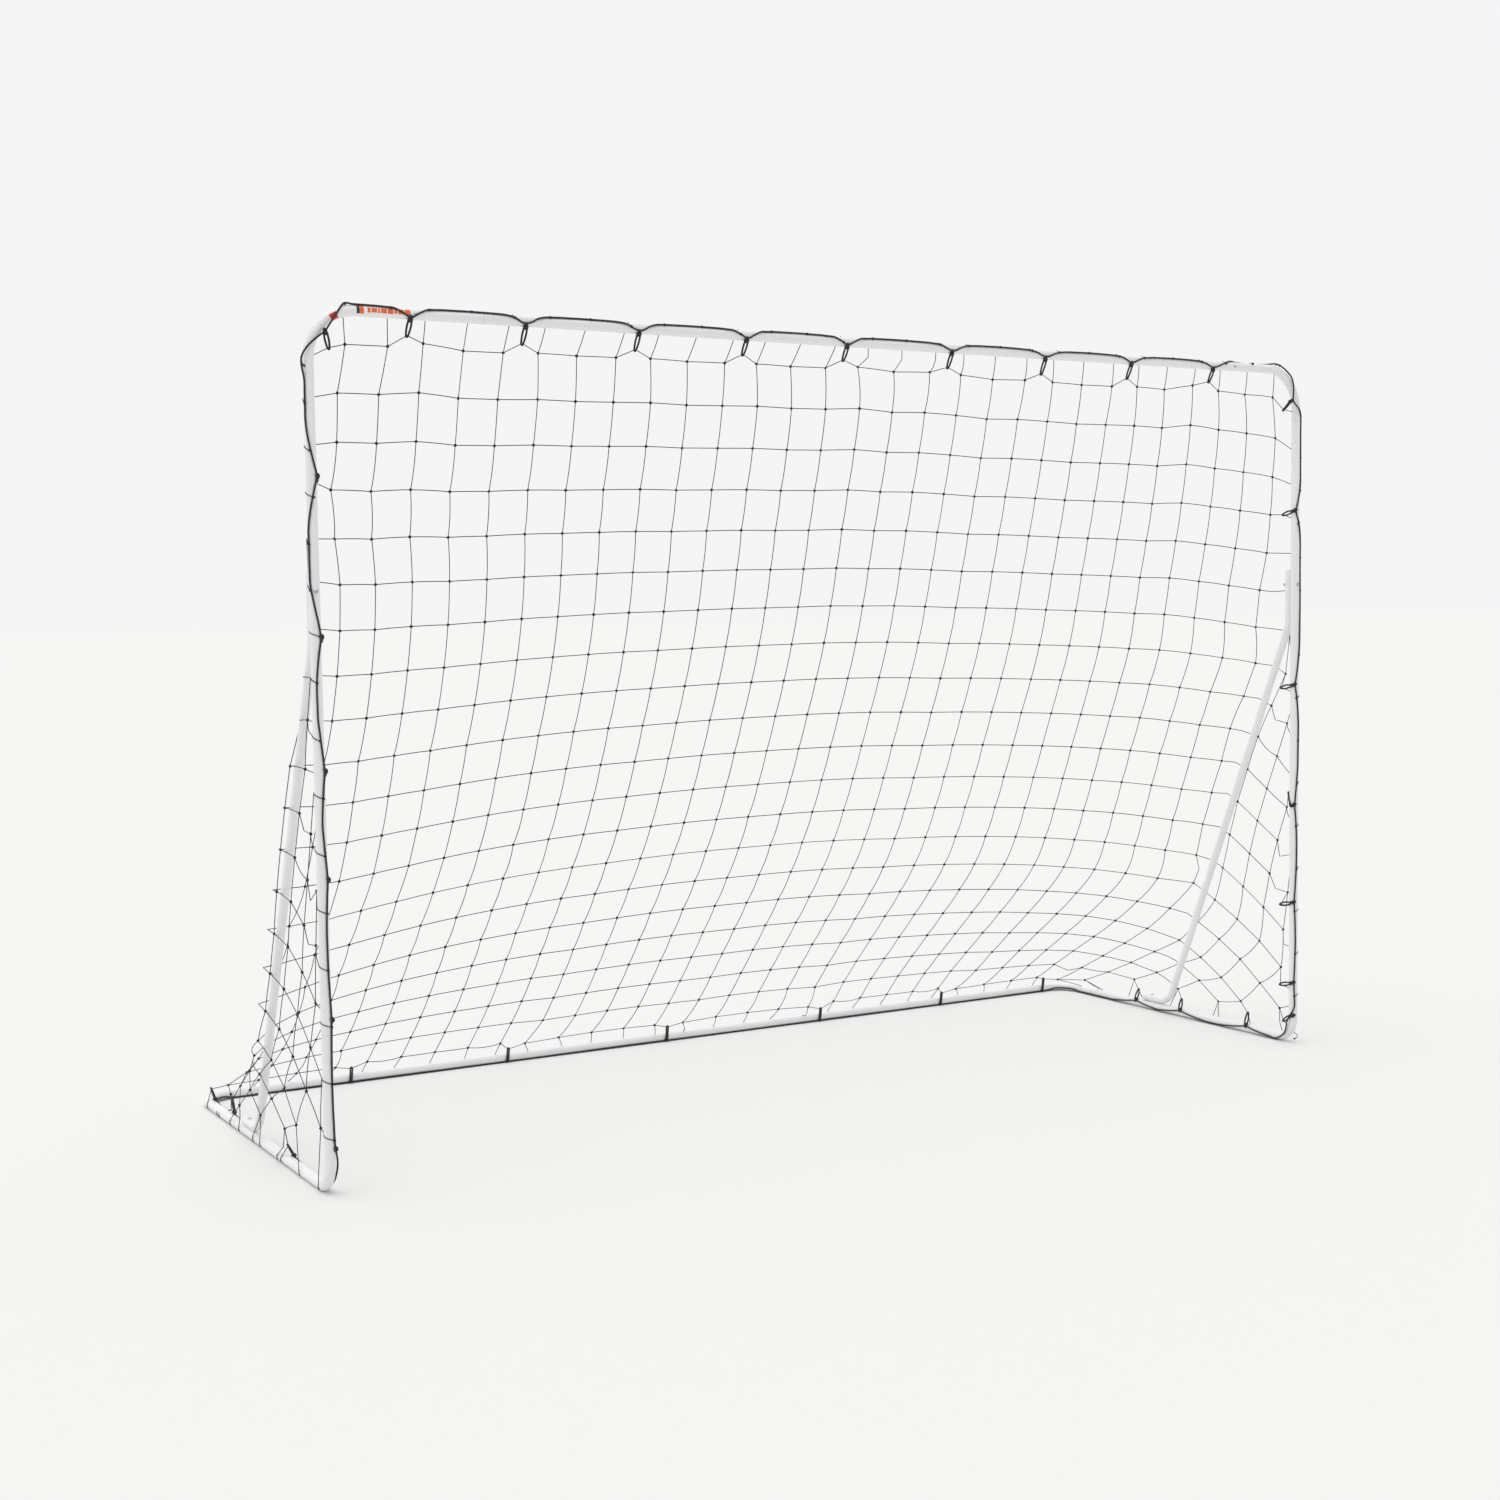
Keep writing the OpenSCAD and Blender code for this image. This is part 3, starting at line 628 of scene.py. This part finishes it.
def buildNet(p):
    rows, cell = p["rows"], p["cell"]
    places, index, fixed = [], {}, {}
    gaps = [p["tieCell"] if k % 3 == 1 else p["barCell"] for k in range(p["columns"] - 1)]
    bars = p["firstColumn"] + np.concatenate([[0], np.cumsum(gaps)])
    last = len(bars) - 1
    topTan = onBar(0, 180 - 28.6, tubeR + p["twine"])
    lowTan = onRear(0, 40, tubeR + p["twine"])
    way = lowTan - topTan
    fullLength = p["firstRow"] + (rows - 1) * cell + p["lastRow"]

    def add(key, place, pin=False):
        index[key] = len(places)
        places.append(np.array(place, float))
        if pin:
            fixed[index[key]] = True
        return index[key]

    def backAt(v, x):
        t = v / fullLength
        place = topTan + way * t
        belly = 0.10 * math.sin(math.pi * t)
        return np.array([x * (1 + 0.05 * t), place[1] + belly * 0.7, place[2] - belly * 0.7])

    links, strands, knots = [], [], []
    for j in range(1, rows + 1):
        v = p["firstRow"] + (j - 1) * cell
        e = p["extra"][j - 1]
        for k in range(-e, last + e + 1):
            if 0 <= k <= last:
                place = backAt(v, bars[k])
            else:
                sign = 1 if k > last else -1
                past = k - last if k > last else -k
                # A rough first place: the side panels start beside the post and lean back
                base = backAt(v, 0)
                place = np.array([sign * (postX + tubeR * 1.1), base[1] - 0.09 * past, base[2] - 0.03 * past])
                place[1] = max(place[1], frontY + 0.03)
                place[2] = max(place[2], 0.02)
            knots.append(add((k, j), place))

    def link(a, b, rest, tag):
        middleNode = add(("m", tag), (places[a] + places[b]) / 2)
        links.append((a, middleNode, rest / 2))
        links.append((middleNode, b, rest / 2))
        return middleNode

    tails = {}
    # Columns
    for k in range(-5, last + 6):
        held = [j for j in range(1, rows + 1) if (k, j) in index]
        if not held:
            continue
        sign = 1 if k > last / 2 else -1
        chain = []
        if 0 <= k <= last:
            top = add(("t", k), [bars[k], topTan[1], topTan[2]], True)
            first = index[(k, 1)]
            chain += [top, link(top, first, p["short"].get(k, p["firstRow"]), ("c", k, 0)), first]
            tails[top] = ("bar", bars[k])
        else:
            ends = endHeights(p, sign)
            z = ends[held[0] - 2]
            top = add(("t", k), onPost(sign, z, p["postAngle"], tubeR + p["twine"]), True)
            first = index[(k, held[0])]
            chain += [top, link(top, first, p["endCellTop"], ("c", k, held[0] - 1)), first]
            tails[top] = ("post", sign, z)
        for j in held[1:]:
            chain += [link(index[(k, j - 1)], index[(k, j)], cell, ("c", k, j - 1)), index[(k, j)]]
        if 1 <= k <= last - 1:
            x = bars[k] * 1.035
            low = add(("b", k), [x, lowTan[1], lowTan[2]], True)
            rest = p["lastRow"]
            tails[low] = ("rear", x)
        else:
            past = k - last if sign > 0 else -k
            y = frontY + p["baseColumnEnds"][past]
            low = add(("b", k), onSide(sign, y, p["baseAngle"], tubeR + p["twine"]), True)
            rest = p["endCell"]
            tails[low] = ("side", sign, y)
        chain += [link(index[(k, held[-1])], low, rest, ("c", k, held[-1])), low]
        strands.append(chain)
    # Rows
    for j in range(1, rows + 1):
        e = p["extra"][j - 1]
        chain = []
        for k in range(-e, last + e + 1):
            if k > -e:
                wide = p["across"] + (p["acrossLow"] - p["across"]) * min(1, max(0, (j - 6) / 8))
                chain.append(link(index[(k - 1, j)], index[(k, j)], wide, ("r", k - 1, j)))
            chain.append(index[(k, j)])
        for sign in (-1, 1):
            k = last + e if sign > 0 else -e
            if j <= postRows:
                z = endHeights(p, sign)[j - 1]
                end = add(("e", sign, j), onPost(sign, z, p["postAngle"], tubeR + p["twine"]), True)
                tails[end] = ("post", sign, z)
            else:
                y = frontY + p["baseRowEnds"][j - postRows - 1]
                end = add(("e", sign, j), onSide(sign, y, p["baseAngle"], tubeR + p["twine"]), True)
                tails[end] = ("side", sign, y)
            mid = link(index[(k, j)], end, p["endCell" if 1 < j <= 6 else "endCellLow"], ("x", sign, j))
            chain = chain + [mid, end] if sign > 0 else [end, mid] + chain
        strands.append(chain)
    places = np.array(places)
    pins = []

    def pin(target, choices, tag):
        best = min((c for c in choices if c not in fixed), key=lambda c: np.linalg.norm(places[c] - target))
        fixed[best] = True
        places[best] = target
        pins.append((tag, best))

    mids = {key[1]: i for key, i in index.items() if key[0] == "m"}
    rowOne = [i for t, i in mids.items() if t[0] == "r" and t[2] == 1]
    rowEnd = [i for t, i in mids.items() if t[0] == "r" and t[2] == rows]
    for n, x in enumerate(ties["bar"]):
        z = ties["barNet"] + 0.003 * math.sin(5 * n)
        pin(np.array([x - 0.004, frontY + 0.004, z]), rowOne, ("bar", n))
    for n, x in enumerate(ties["rear"]):
        z = ties["rearNet"] + 0.003 * math.sin(4 * n)
        pin(np.array([x, rearY - 0.020, z]), rowEnd, ("rear", n))
    for sign in (-1, 1):
        corner = mids[("x", sign, 1)]
        fixed[corner] = True
        places[corner] = beforeFrame(ties["cornerEnd"][sign])
        pins.append((("corner", sign), corner))
    return places, links, strands, knots, tails, pins, fixed, list(mids.values())


def pinSides(places, links, pins, fixed, mids):
    # The ties on the posts and the base sides catch whatever twine hangs nearest to them
    beside = {}
    for a, b, rest in links:
        beside.setdefault(a, []).append((b, rest))
        beside.setdefault(b, []).append((a, rest))
    inward, behind, below = ties["postNet"]
    for sign, post, side in ((-1, "postLeft", "sideLeft"), (1, "postRight", "sideRight")):
        wanted = [((post, n), np.array([sign * (postX - inward), frontY + behind, z - below]))
                  for n, z in enumerate(ties[post])]
        wanted += [((side, n), np.array([sign * (postX - 0.003), frontY + y, ties["sideNet"]]))
                   for n, y in enumerate(ties[side])]
        for tag, target in wanted:
            best = min((c for c in mids if c not in fixed), key=lambda c: np.linalg.norm(places[c] - target))
            move = target - places[best]
            far = np.linalg.norm(move)
            place = places[best] + move * min(1, ties["farthest"] / far)
            for n, rest in beside[best]:
                if n in fixed and np.linalg.norm(place - places[n]) > rest:
                    place = places[n] + (place - places[n]) * rest / np.linalg.norm(place - places[n])
            fixed[best] = True
            places[best] = place
            pins.append((tag, best))


def settleNet(p, places, links, fixed):
    a = np.array([q[0] for q in links])
    b = np.array([q[1] for q in links])
    rest = np.array([q[2] for q in links])
    weight = np.ones(len(places))
    weight[list(fixed)] = 0
    # Links that share no point go in one group, so a group moves at once
    used, groups = [], []
    for n in range(len(links)):
        for members, taken in zip(groups, used):
            if a[n] not in taken and b[n] not in taken:
                members.append(n)
                taken.update((a[n], b[n]))
                break
        else:
            groups.append([n])
            used.append({a[n], b[n]})
    groups = [np.array(g) for g in groups]
    now, before = places.copy(), places.copy()
    free = weight[:, None] > 0
    strutTop = np.array([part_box("strut_upper_right")[0].y + tubeR, strutBendZ])
    strutLow = np.array([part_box("strut_lower_right")[1].y - tubeR, baseZ + tubeR])
    along = (strutLow - strutTop) / np.linalg.norm(strutLow - strutTop)
    normal = np.array([-along[1], along[0]])
    steps = p["steps"]
    order = list(groups)
    for step in range(steps):
        # Heavy and quick at first, then light and slow, so that stretched links shorten again
        late = step > steps * 0.6
        move = np.clip((now - before) * p["keep"][late], -p["fastest"], p["fastest"])
        before = now.copy()
        now = np.where(free, now + move + np.array([0, 0, -p["pull"][late]]), now)
        order.reverse()
        for g in order:
            ia, ib = a[g], b[g]
            d = now[ib] - now[ia]
            length = np.sqrt((d * d).sum(1)) + 1e-9
            over = np.maximum(length - rest[g], 0)
            wa, wb = weight[ia], weight[ib]
            share = over / length / np.maximum(wa + wb, 1e-9)
            now[ia] += d * (share * wa)[:, None]
            now[ib] -= d * (share * wb)[:, None]
        # The side panels lie outside the struts, and nothing goes through the floor
        behind = (now[:, 1:] - strutTop) @ normal
        outside = postX + tubeR + p["twine"]
        reach = outside - np.maximum(behind - tubeR, 0) * 1.2 - 0.03 * np.clip(-behind, 0, 0.2)
        beside = (now[:, 1] < 0.04) & (np.abs(now[:, 0]) > postX - 0.12)
        push = beside & (behind > p["strutBand"][0]) & (behind < p["strutBand"][1]) & (weight > 0)
        now[push, 0] = np.sign(now[push, 0]) * np.maximum(np.abs(now[push, 0]), reach[push])
        now[:, 2] = np.maximum(now[:, 2], 0.0015)
    stretched = np.linalg.norm(now[b] - now[a], axis=1) / rest
    print("net settled, longest link", round(float(stretched.max()), 3), "of its length")
    return now


def edgeCurve(first, mid, second, steps=4):
    if np.linalg.norm(mid - (first + second) / 2) > 0.012:
        # Bent round a tube: straight, then a tight turn
        return np.array([first, first + (mid - first) * 0.8, mid, second + (mid - second) * 0.8])
    t = np.linspace(0, 1, steps + 1)[:-1, None]
    control = 2 * mid - (first + second) / 2
    return (1 - t) ** 2 * first + 2 * t * (1 - t) * control + t * t * second


def tailPath(tail, p):
    # From where a twine meets a tube, round the tube, to the edge rope
    away = tubeR + p["twine"]
    if tail[0] == "bar":
        return [onBar(tail[1], angle, away) for angle in (135, 112, 88, ropeAngleBar(tail[1]) + 6)]
    if tail[0] == "post":
        stop = ropeAnglePost(tail[1], tail[2])
        start, turn = p["postAngle"], stop + 20
        return [onPost(tail[1], tail[2] - 0.012 * t, start + turn * t, away) for t in (0.25, 0.5, 0.75, 1)]
    if tail[0] == "side":
        return [onSide(tail[1], tail[2], angle, away) for angle in (-12, -40)]
    return [onRear(tail[1], angle, away) for angle in (22, 4, -16, -40)]


def ropeAngleBar(x):
    near = min(ties["bar"], key=lambda t: abs(t - x))
    gap = abs(near - x)
    # It rides lower on the face towards the right
    drop = rope["barDrop"] * min(1, max(0, (x + 0.3) / 0.8))
    angles = [rope["barLow"], rope["barMid"] - drop, rope["barHigh"] - drop - 6, rope["barHigh"] - drop]
    return float(np.interp(gap, [0, 0.038, 0.075, 0.14], angles))


def ropeAnglePost(sign, z):
    near = ties["postLeft"] if sign < 0 else ties["postRight"]
    gap = min(abs(t - z) for t in near)
    calm = float(np.interp(z, [0.3, 0.7, 1.15, 1.4], [112, 96, 70, 34]))
    return float(np.interp(gap, [0, 0.045, 0.11], [128, (128 + calm) / 2, calm]))


def ropeAngleSide(sign, y):
    # Held up at its ties, lying at the tube's foot between them
    near = ties["sideLeft"] if sign < 0 else ties["sideRight"]
    gap = min(abs(frontY + t - y) for t in near)
    return float(np.interp(gap, [0, 0.05, 0.12], [150, 182, 214]))


def drawUp(places, links, strands, tails):
    # Spare length between the last knot and a tube is taken up round the tube
    near = {frozenset(link[:2]): n for n, link in enumerate(links)}
    for chain in strands:
        for knot, mid, end in (chain[:3][::-1], chain[-3:]):
            if end not in tails or tails[end][0] in ("bar", "rear"):
                continue
            gap = np.linalg.norm(places[knot] - places[end]) * 1.01 / 2
            for a, b in ((knot, mid), (mid, end)):
                n = near[frozenset((a, b))]
                if mid not in fixed:
                    links[n] = (links[n][0], links[n][1], min(links[n][2], gap))


places, links, strands, knots, tails, pins, fixed, mids = buildNet(net)
places = settleNet(net, places, links, fixed)
pinSides(places, links, pins, fixed, mids)
drawUp(places, links, strands, tails)
places = settleNet(net, places, links, fixed)


def makeNet(p):
    cords = MeshParts()
    for chain in strands:
        path = []
        if chain[0] in tails:
            path += tailPath(tails[chain[0]], p)[::-1]
        for n in range(0, len(chain) - 2, 2):
            path += list(edgeCurve(places[chain[n]], places[chain[n + 1]], places[chain[n + 2]]))
        path.append(places[chain[-1]])
        if chain[-1] in tails:
            path += tailPath(tails[chain[-1]], p)
        path = np.array(path)
        path[:, 2] = np.maximum(path[:, 2], 0.0008)
        cords.cord(path, p["twine"], 6)
    netNodes = ["net_back", "net_left", "net_right"]
    cords.build("netTwines", "netTwine", netNodes, "net_twine")
    lumps = MeshParts()
    rng = np.random.default_rng(5)
    for n in knots:
        # One knot: a short fat ring of twine tied over itself
        centre = places[n]
        turn = rng.normal(size=3)
        turn /= np.linalg.norm(turn)
        side = np.cross(turn, rng.normal(size=3))
        side /= np.linalg.norm(side)
        other = np.cross(turn, side)
        angle = np.linspace(0, 4 * math.pi, 15)[:-1]
        ring = centre + p["knot"] * (np.cos(angle)[:, None] * side + np.sin(angle)[:, None] * other
                                     + 0.5 * np.sin(angle * 1.5)[:, None] * turn)
        lumps.cord(ring, p["knotTwine"], 5, closed=True)
    for tail in tails.values():
        # Two turns of twine round the edge rope
        if tail[0] == "bar":
            point, axis = onBar(tail[1], ropeAngleBar(tail[1]), rope["away"]), (1, 0, 0)
        elif tail[0] == "post":
            angle = ropeAnglePost(tail[1], tail[2])
            point, axis = onPost(tail[1], tail[2] - 0.012, angle, rope["away"]), (0, 0, 1)
        else:
            continue
        angle = np.linspace(0, 2 * math.pi, 9)[:-1]
        side = np.cross(axis, (0.3, 0.5, 0.8))
        side /= np.linalg.norm(side)
        other = np.cross(axis, side)
        turn = p["lashing"] * (np.cos(angle)[:, None] * side + np.sin(angle)[:, None] * other)
        for shift in (-0.0011, 0.0011):
            lumps.cord(point + np.array(axis) * shift + turn, p["twine"], 5, closed=True)
    lumps.build("netKnots", "netTwine", netNodes, "net_twine")


makeNet(net)
print("net made")


def makeRope(p):
    away = p["away"]

    def rearTurn(sign, turns):
        r = rearBend - away
        x, y, z = sign * (postX - rearBend), rearY - rearBend, p["turnHeight"]
        return [np.array([x + r * math.cos(a), y + r * math.sin(a), z]) for a in np.radians(turns)]

    path = []
    # Left post, bottom to top
    for z in np.arange(0.12, barZ - topBend - 0.04, 0.03):
        path.append(onPost(-1, z, ropeAnglePost(-1, z), away))
    path += [beforeFrame(place) for place in p["leftCorner"]]
    # Crossbar, left to right
    for x in np.arange(-1.405, 1.20, 0.0195):
        path.append(onBar(x, ropeAngleBar(x), away))
    path += [onBar(x, angle, away) for x, angle in p["barEnd"]]
    path += [beforeFrame(place) for place in p["rightCorner"]]
    # Right post, top to bottom
    for z in np.arange(barZ - topBend - 0.03, 0.10, -0.03):
        path.append(onPost(1, z, ropeAnglePost(1, z), away))
    # Right base side, rear tube, left base side, along their inner lower edges
    path.append(np.array([postX - away - 0.004, frontY + 0.004, 0.070]))
    path.append(np.array([postX - away, frontY + 0.020, 0.028]))
    for y in np.arange(frontY + footBend, rearY - rearBend, 0.025):
        path.append(onSide(1, y, ropeAngleSide(1, y), away))
    path += rearTurn(1, (20, 45, 70))
    for x in np.arange(postX - rearBend, -postX + rearBend, -0.05):
        path.append(onRear(x, p["baseAngle"] + 4 * math.sin(x * 8), away))
    path += rearTurn(-1, (110, 135, 160))
    for y in np.arange(rearY - rearBend, frontY + footBend, -0.025):
        path.append(onSide(-1, y, ropeAngleSide(-1, y), away))
    path.append(np.array([-postX + away, frontY + 0.020, 0.028]))
    path.append(np.array([-postX + away + 0.004, frontY + 0.004, 0.070]))
    path = smoothPath(path, 4, closed=True)
    path[:, 2] = np.maximum(path[:, 2], p["radius"])
    cords = MeshParts()
    cords.cord(path, p["radius"], 10, closed=True)
    length = np.linalg.norm(np.roll(path, -1, 0) - path, axis=1).sum()
    print("edge rope made,", round(float(length), 3), "m long")
    cords.build("edgeRope", "edgeRope", ["edge_rope"], "rope_black")


makeRope(rope)


def makeTies(p):
    # Each tie is a doubled loop from the edge rope to the net, with a knot at the rope
    away = rope["away"]
    pieces = {}
    for (kind, n), node in pins:
        end = places[node]
        if kind == "bar":
            x = p["bar"][n]
            start, axis, name = onBar(x, rope["barLow"], away), (1, 0, 0), "ties_crossbar"
            through = []
        elif kind == "corner":
            start, axis, name = beforeFrame(p["cornerStart"][n]), (1, 0, 0.3 * n), "ties_crossbar"
            through = []
        elif kind in ("postLeft", "postRight"):
            sign = -1 if kind == "postLeft" else 1
            z = p[kind][n]
            start, axis, name = onPost(sign, z, 128, away), (0, 0, 1), "ties_post_" + kind[4:].lower()
            through = [onPost(sign, z - 0.004, 175, tubeR + 0.003)]
        elif kind == "rear":
            start, axis, name = onRear(p["rear"][n], rope["baseAngle"], away), (1, 0, 0), "ties_base_rear"
            through = [onRear(p["rear"][n], 172, tubeR + 0.003)]
        else:
            sign = -1 if kind == "sideLeft" else 1
            y = frontY + p[kind][n]
            start, axis, name = onSide(sign, y, 150, away), (0, 1, 0), "ties_base_" + kind[4:].lower()
            through = []
        axis = np.array(axis, float)
        line = np.array([start] + through + [end])
        out = line[0] - line[1]
        out /= np.linalg.norm(out)
        down = line[-1] - line[-2]
        down /= np.linalg.norm(down)
        gap = p["radius"] * 1.1
        spread = gap * p["open"].get(kind, p["openElse"])
        belly = (line[-2] + line[-1]) / 2
        left = [q - axis * gap for q in line[:-1]] + [belly - axis * spread]
        right = [q + axis * gap for q in line[:-1]] + [belly + axis * spread]
        tip = [line[-1] - axis * gap, line[-1] + down * 0.0035, line[-1] + axis * gap]
        loop = [line[0] + out * 0.004] + left + tip + right[::-1]
        path = smoothPath(loop, 4, closed=True)
        path[:, 2] = np.maximum(path[:, 2], p["radius"])
        parts = pieces.setdefault(name, MeshParts())
        parts.cord(path, p["radius"], 8, closed=True)
        side = np.cross(axis, out)
        side /= np.linalg.norm(side)
        angle = np.linspace(0, 2 * math.pi, 13)[:-1]
        for at in (0.108, 0.204):
            centre = line[0] + (line[1] - line[0]) * at
            ring = centre + 0.0050 * (np.cos(angle)[:, None] * axis + np.sin(angle)[:, None] * side * 0.9)
            ring[:, 2] = np.maximum(ring[:, 2], p["radius"])
            parts.cord(ring, p["radius"] * 0.9, 7, closed=True)
    for name, parts in pieces.items():
        parts.build(name.replace("ties_", "loops_"), "elasticCord", [name], "elastic_black")


makeTies(ties)
print("ties made")


# Marking film on the crossbar: a dark block, an orange block and a row of orange bars

film = {
    "orange": (0.80, 0.13, 0.02, 1),
    "dark": (0.02, 0.02, 0.022, 1),
    "red": (0.62, 0.03, 0.02, 1),
    "end": -1.243,            # x where the row of bars ends
    # the bars' widths as parts of the whole film, the gap between them, and how much each is cut down
    "widths": (0.050, 0.100, 0.030, 0.100, 0.100, 0.050, 0.100, 0.100),
    "gap": 0.018,
    "cuts": (0, 8, 0, 4, 0, 10, 2, 0),
}


def filmFinish(name, color):
    return solidFinish(name, {
        "rough": 0.34, "colorA": color, "colorB": tuple(c * 1.12 for c in color[:3]) + (1,),
        "scuffColor": (0.55, 0.52, 0.50, 1), "grainScale": 1500, "toneScale": 30, "scuff": 0.35,
        "bump": 0.08, "bumpDepth": 0.0002, "coat": 0.2,
    })


for label in ("orange", "dark", "red"):
    finishes[label] = filmFinish("film" + label.capitalize(), film[label])


def makeTag():
    # A small red label on the front of the left top corner's bend
    radius = tubeR + 0.00045
    across, down = 8, 6
    points, faces = [], []
    for i in range(across + 1):
        turn = math.radians(114 + 10 * i / across)
        for j in range(down + 1):
            a = math.radians(-22 + 78 * j / down)
            out = topBend - radius * math.sin(a)
            points.append((-postX + topBend + out * math.cos(turn), frontY - radius * math.cos(a),
                           barZ - topBend + out * math.sin(turn)))
    for i in range(across):
        for j in range(down):
            n = i * (down + 1) + j
            faces.append((n, n + down + 1, n + down + 2, n + 1))
    mesh = bpy.data.meshes.new("cornerTag")
    mesh.from_pydata(points, [], faces)
    mesh.materials.append(finishes["red"])
    piece = newObject("cornerTag", mesh)
    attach(piece, "frame")
    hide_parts("corner_tag")


makeTag()


def makeFilm(p):
    start = -postX + topBend + 0.001
    span = p["end"] - start
    shapes = [("dark", 0.00, 0.052, -34, 56), ("orange", 0.056, 0.125, -34, 56)]
    place = 0.19
    for width, cut in zip(p["widths"], p["cuts"]):
        shapes.append(("orange", place, place + width, -18 + cut / 2, 38 - cut / 2))
        place += width + p["gap"]
    points, faces, colors = [], [], []
    radius = tubeR + 0.00025
    for color, u0, u1, a0, a1 in shapes:
        base = len(points)
        across = 12
        for i in range(across + 1):
            angle = a0 + (a1 - a0) * i / across
            for u in (u0, u1):
                points.append(tuple(onBar(start + span * min(u, 1.0), angle, radius)))
        for i in range(across):
            faces.append((base + 2 * i, base + 2 * i + 1, base + 2 * i + 3, base + 2 * i + 2))
            colors.append(0 if color == "orange" else 1)
    mesh = bpy.data.meshes.new("markingFilm")
    mesh.from_pydata(points, [], faces)
    mesh.materials.append(finishes["orange"])
    mesh.materials.append(finishes["dark"])
    for polygon, color in zip(mesh.polygons, colors):
        polygon.material_index = color
        polygon.use_smooth = True
    piece = newObject("markingFilm", mesh)
    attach(piece, "frame")
    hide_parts("marking_band")


makeFilm(film)
print("marking film made")
